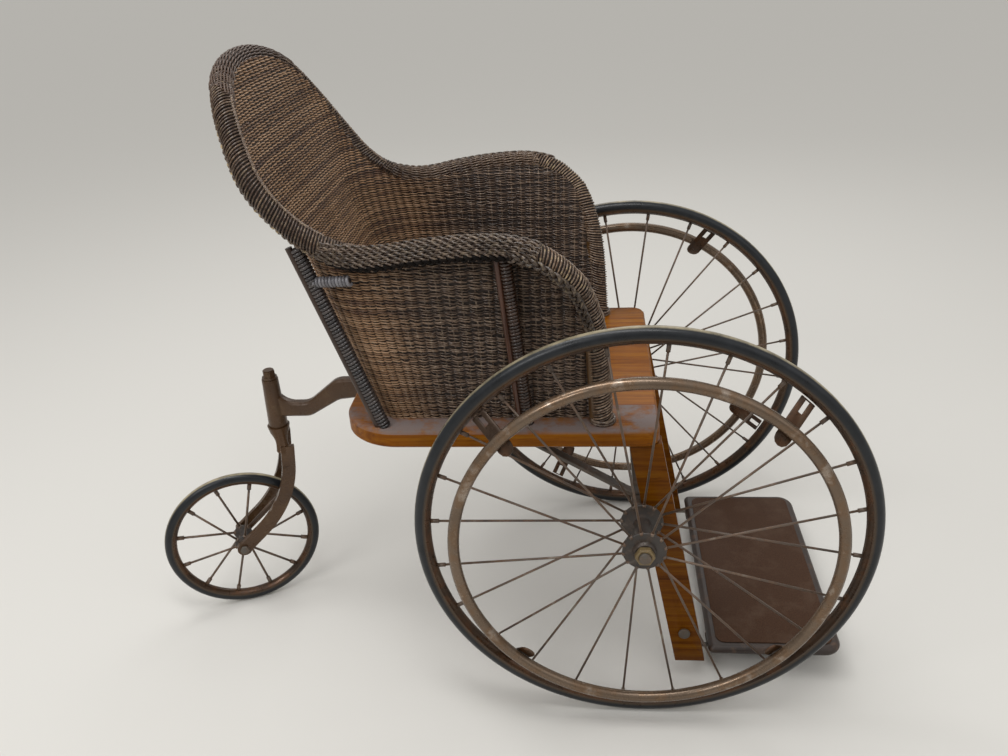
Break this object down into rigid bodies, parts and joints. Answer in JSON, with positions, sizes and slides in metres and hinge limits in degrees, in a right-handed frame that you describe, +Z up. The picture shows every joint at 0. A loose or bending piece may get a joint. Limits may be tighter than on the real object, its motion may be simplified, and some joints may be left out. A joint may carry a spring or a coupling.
{
  "type": "wicker invalid chair",
  "caption": "Antique wicker wheelchair: woven tub seat on a wooden frame, large wire wheels with hand rims in front, one trailing caster behind and a folding footboard.",
  "frame": {"origin": "on the floor, at the middle of the bounding box", "axes": "+X forward, the way the sitter faces; +Y to the sitter's left; +Z up"},
  "size_m": [1.264, 0.724, 1.0619],
  "materials": {
    "varnished_wood": "worn orange-brown varnish",
    "footboard_wood": "dark painted edge",
    "linoleum": "brown linoleum, matt",
    "wicker": "dark brown stained willow, satin",
    "cane": "dark woven cane",
    "tyre": "aged black rubber",
    "rim_steel": "brown worn paint over steel",
    "spoke_steel": "tarnished wire",
    "hub_iron": "dark oily iron",
    "brown_paint": "brown enamel, worn",
    "grey_iron": "grey forged iron",
    "brass": "tarnished brass"
  },
  "bodies": {
    "chassis": {"seat_rail_right": "varnished_wood", "seat_rail_left": "varnished_wood", "seat_rail_front": "varnished_wood", "seat_rail_rear": "varnished_wood", "seat_panel": "cane", "leg_right": "varnished_wood", "leg_left": "varnished_wood", "wicker_tub": "wicker", "post_rear_right": "wicker", "post_rear_left": "wicker", "post_middle_right": "wicker", "post_middle_left": "wicker", "braces": "wicker", "axle": "grey_iron", "axle_clip_right": "grey_iron", "axle_clip_left": "grey_iron", "axle_nuts": "brass", "strut_right": "grey_iron", "strut_left": "grey_iron", "caster_arm": "brown_paint", "hinge_bolts": "grey_iron"},
    "right_wheel": {"right_wheel_tyre": "tyre", "right_wheel_rim": "rim_steel", "right_wheel_spokes": "spoke_steel", "right_wheel_hub": "hub_iron", "right_hand_rim": "rim_steel", "right_hand_rim_brackets": "rim_steel"},
    "left_wheel": {"left_wheel_tyre": "tyre", "left_wheel_rim": "rim_steel", "left_wheel_spokes": "spoke_steel", "left_wheel_hub": "hub_iron", "left_hand_rim": "rim_steel", "left_hand_rim_brackets": "rim_steel"},
    "caster_fork": {"caster_fork": "brown_paint", "caster_nut": "brass", "caster_axle": "grey_iron"},
    "caster_wheel": {"caster_wheel_tyre": "tyre", "caster_wheel_rim": "rim_steel", "caster_wheel_spokes": "spoke_steel", "caster_wheel_hub": "hub_iron"},
    "footboard": {"footboard": "footboard_wood", "footboard_cover": "linoleum", "footboard_iron_right": "grey_iron", "footboard_iron_left": "grey_iron"}
  },
  "joints": [
    {"name": "right_wheel_spin", "type": "hinge", "parent": "chassis", "child": "right_wheel", "pos_m": [0.27638, -0.309, 0.3556], "axis": [0, 1, 0], "continuous": true},
    {"name": "left_wheel_spin", "type": "hinge", "parent": "chassis", "child": "left_wheel", "pos_m": [0.27638, 0.309, 0.3556], "axis": [0, 1, 0], "continuous": true},
    {"name": "caster_swivel", "type": "hinge", "parent": "chassis", "child": "caster_fork", "pos_m": [-0.39561, 0, 0.43], "axis": [0, 0, 1], "continuous": true},
    {"name": "caster_wheel_spin", "type": "hinge", "parent": "caster_fork", "child": "caster_wheel", "pos_m": [-0.49411, -0.04181, 0.148], "axis": [-0.3907, 0.9205, 0], "continuous": true},
    {"name": "footboard_fold", "type": "hinge", "parent": "chassis", "child": "footboard", "pos_m": [0.35349, 0, 0.104], "axis": [0, -1, 0], "range_deg": [0, 100]}
  ]
}
